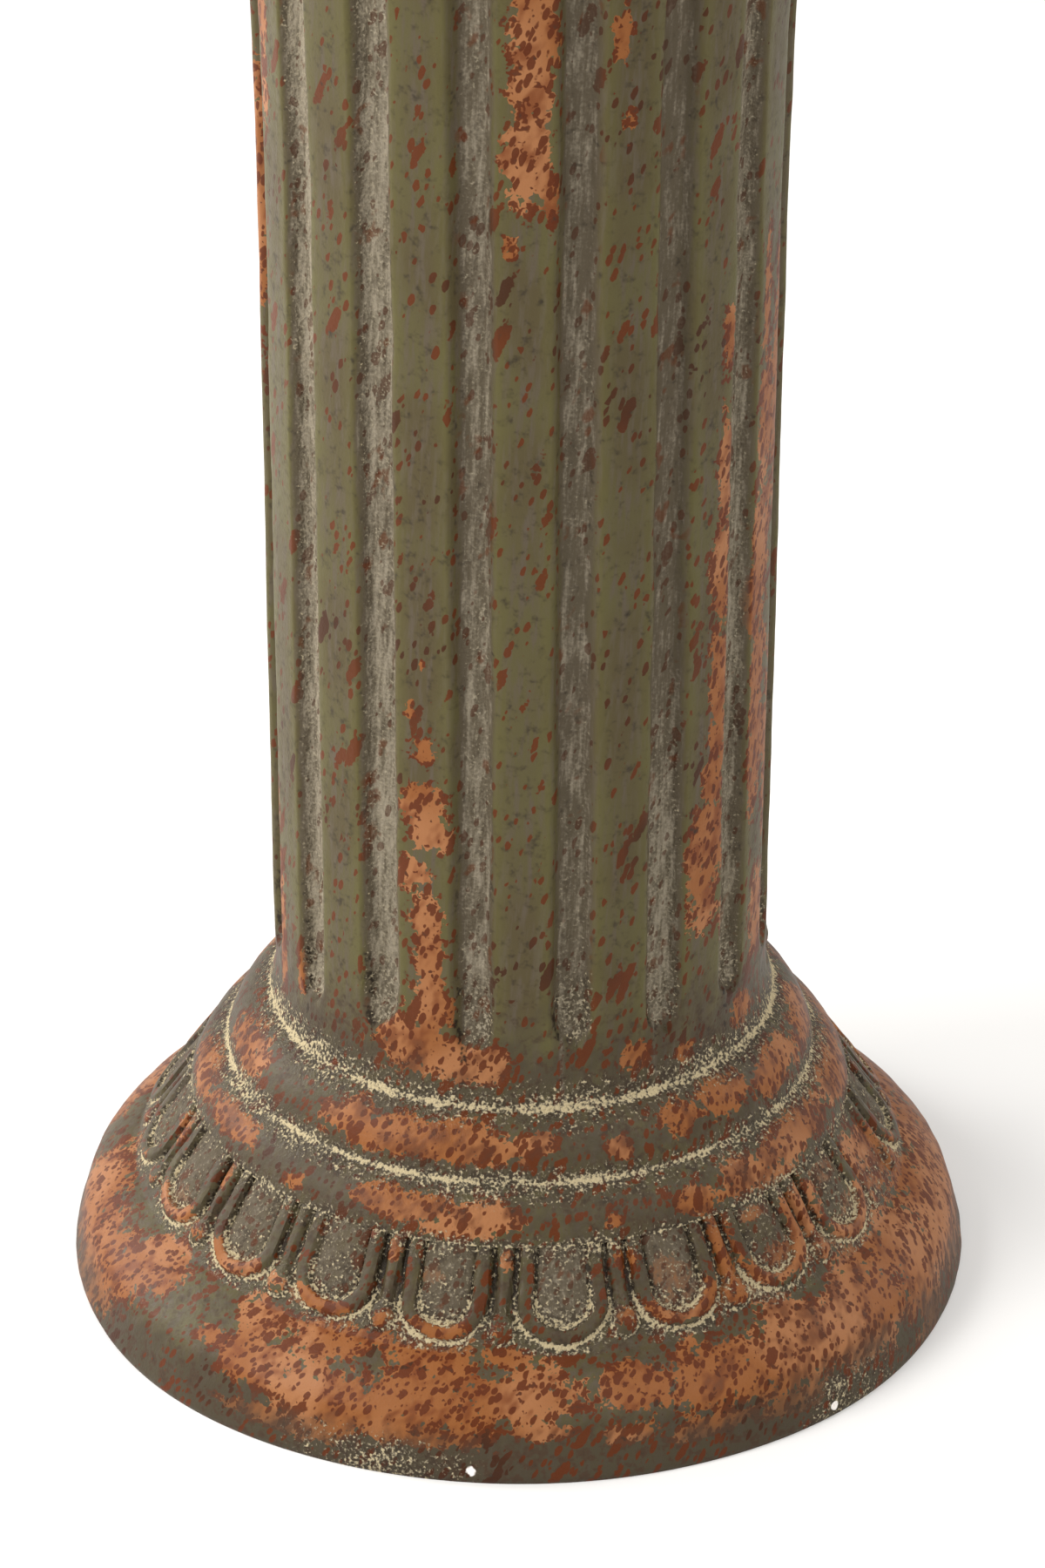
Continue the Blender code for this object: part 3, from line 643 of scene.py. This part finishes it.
class Nodes:
    """Short ways to add shader nodes and wire them."""

    def __init__(self, tree):
        self.tree = tree

    def new(self, kind, **settings):
        node = self.tree.nodes.new(kind)
        for name, value in settings.items():
            setattr(node, name, value)
        return node

    def wire(self, source, socket):
        if isinstance(source, (int, float)):
            socket.default_value = source
        elif isinstance(source, tuple):
            socket.default_value = source if len(socket.default_value) == len(source) else (*source, 1.0)
        else:
            self.tree.links.new(source, socket)

    def math(self, operation, *sources, clamp=False):
        node = self.new("ShaderNodeMath", operation=operation, use_clamp=clamp)
        for source, socket in zip(sources, node.inputs):
            self.wire(source, socket)
        return node.outputs[0]

    def vector(self, operation, *sources):
        node = self.new("ShaderNodeVectorMath", operation=operation)
        for source, socket in zip(sources, node.inputs):
            self.wire(source, socket)
        return node.outputs[0]

    def distance(self, place, point):
        node = self.new("ShaderNodeVectorMath", operation="DISTANCE")
        self.wire(place, node.inputs[0])
        self.wire(point, node.inputs[1])
        return node.outputs["Value"]

    def step(self, value, start, end):
        """0 before start, 1 after end, smooth between."""
        node = self.new("ShaderNodeMapRange", interpolation_type="SMOOTHSTEP", clamp=True)
        self.wire(value, node.inputs["Value"])
        self.wire(start, node.inputs["From Min"])
        self.wire(end, node.inputs["From Max"])
        return node.outputs["Result"]

    def mix(self, share, first, second):
        node = self.new("ShaderNodeMix", data_type="RGBA", clamp_factor=True)
        self.wire(share, node.inputs[0])
        self.wire(first, node.inputs[6])
        self.wire(second, node.inputs[7])
        return node.outputs[2]

    def noise(self, place, size, detail=3.0, roughness=0.55, distortion=0.0):
        """Random values with features about this size."""
        node = self.new("ShaderNodeTexNoise")
        self.wire(place, node.inputs["Vector"])
        node.inputs["Scale"].default_value = 1.0 / size
        node.inputs["Detail"].default_value = detail
        node.inputs["Roughness"].default_value = roughness
        node.inputs["Distortion"].default_value = distortion
        return node.outputs["Fac"]

    def cells(self, place, size):
        """Distance from the middle of random cells about this size, and two random numbers a cell."""
        node = self.new("ShaderNodeTexVoronoi")
        self.wire(place, node.inputs["Vector"])
        node.inputs["Scale"].default_value = 1.0 / size
        parts = self.new("ShaderNodeSeparateColor")
        self.wire(node.outputs["Color"], parts.inputs[0])
        return node.outputs["Distance"], parts.outputs[0], parts.outputs[1]

    def share(self, name):
        return self.new("ShaderNodeAttribute", attribute_name=name).outputs["Fac"]

    def slanted(self, place, twist, stretch):
        """The place twisted about the axis and drawn out along it, so that a pattern on it leans and lengthens."""
        parts = self.new("ShaderNodeSeparateXYZ")
        self.wire(place, parts.inputs[0])
        turn = self.new("ShaderNodeVectorRotate", rotation_type="Z_AXIS")
        self.wire(place, turn.inputs["Vector"])
        self.wire(self.math("MULTIPLY", parts.outputs[2], -twist), turn.inputs["Angle"])
        return self.vector("MULTIPLY", turn.outputs[0], (1.0, 1.0, 1.0 / stretch))


OLIVE = (0.070, 0.054, 0.024)
OLIVE_GREEN = (0.080, 0.068, 0.028)
OLIVE_HIGHLIGHT = (0.094, 0.084, 0.026)
OLIVE_GREY = (0.084, 0.066, 0.044)
OLIVE_DARK = (0.036, 0.028, 0.015)
SMOKE = (0.047, 0.036, 0.023)
UMBER = (0.052, 0.030, 0.017)
GRIME = (0.030, 0.023, 0.015)
RED_BROWN = (0.090, 0.018, 0.002)
DARK_BROWN = (0.040, 0.011, 0.003)
SPECKLE = (0.076, 0.014, 0.002)
ORANGE = (0.215, 0.076, 0.021)
ORANGE_PALE = (0.285, 0.120, 0.048)
ORANGE_DEEP = (0.125, 0.029, 0.006)
CREAM = (0.430, 0.355, 0.215)
CREAM_GREY = (0.240, 0.205, 0.140)
CHALK_GREY = (0.088, 0.070, 0.048)
CHALK_PALE = (0.300, 0.260, 0.193)
CRACK_AND_SHADOW = (0.012, 0.008, 0.004)
CHIP = (0.85, 0.80, 0.76)
CHIP_HEART = (0.75, 0.35, 0.24)


def marks_of(nodes, cells, rarity, power, biggest, softness=0.05):
    """Marks inside random cells: round each cell's middle, of many sizes, some cells left empty."""
    distance, presence, spread = cells
    radius = nodes.math("MULTIPLY", nodes.math("POWER", spread, power), biggest)
    mark = nodes.step(nodes.math("SUBTRACT", radius, distance), 0.0, softness)
    return nodes.math("MULTIPLY", mark, nodes.math("GREATER_THAN", presence, rarity))


def weathered_material():
    material = bpy.data.materials.new("weathered_casting")
    material.use_nodes = True
    tree = material.node_tree
    shader = tree.nodes["Principled BSDF"]
    nodes = Nodes(tree)
    place = nodes.new("ShaderNodeTexCoord").outputs["Object"]
    broad = nodes.share("broad")
    fine = nodes.noise(place, 0.0045, 2.0, 0.70)
    film = nodes.noise(nodes.slanted(place, 3.0, 1.5), 0.010, 2.0, 0.75)
    streaky = nodes.noise(nodes.slanted(place, 0.6, 7.0), 0.0026, 2.0, 0.70)
    grain = nodes.noise(place, 0.0013, 1.0, 0.60)

    # Olive paint: slow changes of tone, faint streaks down the shaft, and a painted highlight on the flutes' shoulders
    colour = nodes.mix(nodes.step(broad, -0.35, 0.45), OLIVE, OLIVE_GREEN)
    colour = nodes.mix(nodes.step(streaky, 0.42, 0.72), colour, OLIVE_GREY)
    colour = nodes.mix(nodes.math("MULTIPLY", nodes.step(fine, 0.52, 0.72), 0.6), colour, OLIVE_DARK)
    # Painted highlight along the flutes' shoulders
    colour = nodes.mix(nodes.math("MULTIPLY", nodes.share("shoulder"), 0.5), colour, OLIVE_HIGHLIGHT)
    smoke = nodes.share("smoke")
    smoky = nodes.math("ADD", smoke, nodes.math("SUBTRACT", film, 0.5))
    colour = nodes.mix(nodes.math("MULTIPLY", nodes.step(smoky, 0.15, 0.75), 0.8), colour, SMOKE)
    colour = nodes.mix(nodes.math("MULTIPLY", nodes.step(fine, 0.49, 0.62), smoke), colour, UMBER)

    # Red-brown splashes on the paint
    large_cells = nodes.cells(nodes.slanted(place, 3.8, 2.7), 0.0064)
    small_cells = nodes.cells(nodes.slanted(place, 2.6, 1.9), 0.0029)
    uneven = nodes.math("MULTIPLY", nodes.math("SUBTRACT", fine, 0.5), 0.7)
    few = nodes.math("SUBTRACT", 0.60, nodes.math("MULTIPLY", smoke, 1.00))
    large = marks_of(nodes, (nodes.math("ADD", large_cells[0], uneven), *large_cells[1:]), few, 1.5, 0.50)
    small_place = nodes.math("ADD", small_cells[0], nodes.math("MULTIPLY", uneven, 0.9))
    small_cells = (small_place, *small_cells[1:])
    small = marks_of(nodes, small_cells, few, 1.0, 0.56, 0.08)
    marks = nodes.math("MAXIMUM", large, small)
    brown = nodes.mix(nodes.step(broad, -0.6, 0.1), DARK_BROWN, RED_BROWN)
    colour = nodes.mix(nodes.math("MULTIPLY", marks, 0.90), colour, brown)

    # Bare orange body with sharp ragged edges, under dense dark speckles
    edge = nodes.math("ADD", nodes.share("bare"), nodes.math("MULTIPLY", nodes.math("SUBTRACT", fine, 0.5), 2.4))
    bare = nodes.step(edge, 0.00, 0.06)
    orange = nodes.mix(nodes.step(broad, -0.2, 0.4), ORANGE, ORANGE_PALE)
    orange = nodes.mix(nodes.math("MULTIPLY", nodes.step(film, 0.45, 0.66), 0.75), orange, ORANGE_DEEP)
    dots = marks_of(nodes, small_cells, 0.06, 0.65, 0.62, 0.10)
    drops = nodes.math("MULTIPLY", large, nodes.math("GREATER_THAN", large_cells[1], 0.42))
    worn_edge = nodes.math("MULTIPLY", nodes.step(nodes.share("bare"), 0.45, 0.0), 0.09)
    blotchy = nodes.math("ADD", nodes.math("ADD", fine, worn_edge), nodes.math("MULTIPLY", film, 0.35))
    blots = nodes.step(blotchy, 0.785, 0.825)
    spots = nodes.math("MAXIMUM", nodes.math("MAXIMUM", dots, drops), blots)
    orange = nodes.mix(nodes.math("MULTIPLY", spots, 0.90), orange, SPECKLE)
    haze = nodes.math("MULTIPLY", nodes.step(smoky, 0.45, 1.05), 0.7)
    colour = nodes.mix(bare, colour, nodes.mix(haze, orange, SMOKE))

    # Grey chalky film in the flutes, streaked upright, with the splashes showing through
    grey = nodes.share("grey")
    chalk = nodes.math("ADD", nodes.math("MULTIPLY", streaky, 0.7), nodes.math("MULTIPLY", grain, 0.3))
    pale = nodes.step(nodes.math("ADD", chalk, nodes.math("MULTIPLY", grey, 0.40)), 0.76, 1.16)
    chalky = nodes.mix(pale, CHALK_GREY, CHALK_PALE)
    chalky = nodes.mix(nodes.math("MULTIPLY", marks, 0.6), chalky, DARK_BROWN)
    chalky = nodes.mix(nodes.math("MULTIPLY", nodes.step(film, 0.60, 0.68), 0.65), chalky, RED_BROWN)
    film_edge = nodes.math("ADD", grey, nodes.math("MULTIPLY", nodes.math("SUBTRACT", streaky, 0.5), 0.8))
    colour = nodes.mix(nodes.math("MULTIPLY", nodes.step(film_edge, 0.05, 0.80), 0.85), colour, chalky)

    # Dark cracks and painted shade in the grooves beside the frames and darts, and painted shadow on the flutes' left
    # walls near their ends
    crack_edge = nodes.math("ADD", nodes.share("crack"), nodes.math("MULTIPLY", nodes.math("SUBTRACT", fine, 0.5), 1.8))
    crack = nodes.step(crack_edge, 0.38, 0.72)
    colour = nodes.mix(nodes.math("MULTIPLY", crack, 0.9), colour, CRACK_AND_SHADOW)

    # Pale crust in the creases: coarse grains that thin out
    crust = nodes.share("crust")
    grains = nodes.math("ADD", nodes.math("MULTIPLY", nodes.math("SUBTRACT", grain, 0.5), 2.6),
                        nodes.math("MULTIPLY", nodes.math("SUBTRACT", fine, 0.5), 0.9))
    crust_edge = nodes.math("ADD", crust, grains)
    some = nodes.step(crust, 0.04, 0.20)
    dirty = nodes.step(nodes.math("ADD", crust, nodes.math("MULTIPLY", nodes.math("SUBTRACT", fine, 0.5), 1.8)), 0.22, 0.55)
    dusty = nodes.math("MULTIPLY", nodes.step(crust_edge, 0.42, 0.80), some)
    caked = nodes.math("MULTIPLY", nodes.step(crust_edge, 0.70, 1.00), some)
    in_flute = nodes.step(grey, 0.75, 0.95)
    grimy = nodes.math("SUBTRACT", 0.65, nodes.math("MULTIPLY", in_flute, 0.45))
    colour = nodes.mix(nodes.math("MULTIPLY", dirty, grimy), colour, GRIME)
    colour = nodes.mix(nodes.math("MULTIPLY", dusty, 0.75), colour, CREAM_GREY)
    cream = nodes.mix(in_flute, CREAM, CHALK_PALE)
    colour = nodes.mix(nodes.math("MULTIPLY", caked, 0.90), colour, cream)

    # Fresh chips near the foot, with an orange heart
    for azimuth, height, half in CHIPS:
        heart = (FOOT_RADIUS * sin(radians(azimuth)), -FOOT_RADIUS * cos(radians(azimuth)), height * MM)
        away = nodes.distance(place, heart)
        away = nodes.math("ADD", away, nodes.math("MULTIPLY", nodes.math("SUBTRACT", fine, 0.5), 2.4 * MM))
        colour = nodes.mix(nodes.step(away, 1.25 * half * MM, 0.95 * half * MM), colour, CHIP)
        colour = nodes.mix(nodes.step(away, 0.6 * half * MM, 0.2 * half * MM), colour, CHIP_HEART)
    nodes.wire(colour, shader.inputs["Base Color"])

    # Sheen on the paint, none on the crust
    dull = nodes.math("MAXIMUM", dusty, nodes.math("MULTIPLY", grey, 0.8))
    gloss = nodes.math("ADD", 0.38, nodes.math("MULTIPLY", fine, 0.20))
    roughness = nodes.math("ADD", gloss, nodes.math("MULTIPLY", dull, 0.42), clamp=True)
    nodes.wire(roughness, shader.inputs["Roughness"])
    shader.inputs["Specular IOR Level"].default_value = 0.14

    # Small relief: brushed paint, grains of crust and chalk
    coarse = nodes.math("ADD", nodes.math("MAXIMUM", nodes.math("SUBTRACT", nodes.math("MULTIPLY", grey, 2.0), 1.5), 0.0),
                        nodes.math("MULTIPLY", crust, 1.5))
    bump = nodes.new("ShaderNodeBump")
    nodes.wire(nodes.math("ADD", coarse, 0.12, clamp=True), bump.inputs["Strength"])
    bump.inputs["Distance"].default_value = 1.0 * MM
    nodes.wire(grain, bump.inputs["Height"])
    nodes.wire(bump.outputs["Normal"], shader.inputs["Normal"])
    return material


def floor_and_light():
    size = 12.0
    mesh = bpy.data.meshes.new("studio_floor")
    corners = [(-size, -size, 0.0), (size, -size, 0.0), (size, size, 0.0), (-size, size, 0.0)]
    mesh.from_pydata(corners, [], [(0, 1, 2, 3)])
    floor = bpy.data.objects.new("studio_floor", mesh)
    bpy.context.scene.collection.objects.link(floor)
    pale = bpy.data.materials.new("studio_floor")
    pale.use_nodes = True
    shader = pale.node_tree.nodes["Principled BSDF"]
    shader.inputs["Base Color"].default_value = (0.86, 0.86, 0.86, 1.0)
    shader.inputs["Roughness"].default_value = 0.9
    shader.inputs["Specular IOR Level"].default_value = 0.1
    mesh.materials.append(pale)

    world = bpy.data.worlds.new("studio")
    world.use_nodes = True
    world.node_tree.nodes["Background"].inputs["Color"].default_value = (1.0, 0.985, 0.96, 1.0)
    world.node_tree.nodes["Background"].inputs["Strength"].default_value = 0.50
    bpy.context.scene.world = world

    add_softbox("key", (-2.6, -1.5, 2.3), 1.8, 112.0, (1.0, 0.98, 0.95))
    add_softbox("fill", (1.8, -2.2, 3.0), 1.8, 60.0, (1.0, 0.98, 0.95))
    add_softbox("rim", (-2.5, 1.0, 1.2), 1.4, 78.0, (1.0, 0.98, 0.95))
    add_softbox("right rim", (2.5, 0.8, 1.3), 1.2, 24.0, (1.0, 0.98, 0.95))


def add_softbox(name, place, size, power, colour):
    light = bpy.data.lights.new(name, "AREA")
    light.shape = "SQUARE"
    light.size = size
    light.energy = power
    light.color = colour
    softbox = bpy.data.objects.new(name, light)
    aim = Matrix.Translation(place).to_translation()
    towards = -(aim - Matrix.Translation((0.0, 0.0, 0.3)).to_translation())
    softbox.rotation_euler = towards.to_track_quat("-Z", "Y").to_euler()
    softbox.location = place
    bpy.context.scene.collection.objects.link(softbox)


def add_camera():
    data = bpy.data.cameras.new("camera")
    data.sensor_fit = "AUTO"
    data.sensor_width = 36.0
    data.lens = 112.1
    data.shift_x = 2.1 / 1800
    camera = bpy.data.objects.new("camera", data)
    place = Matrix.Translation((0.0, -1.733, 1.1215))
    camera.matrix_world = place @ Matrix.Rotation(radians(62.24), 4, "X") @ Matrix.Rotation(radians(0.2), 4, "Z")
    bpy.context.scene.collection.objects.link(camera)
    bpy.context.scene.camera = camera


skin = make_skin()
skin.data.materials.append(weathered_material())
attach(skin, "root")
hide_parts("pedestal")
floor_and_light()
add_camera()
bpy.context.scene.view_settings.view_transform = "Standard"
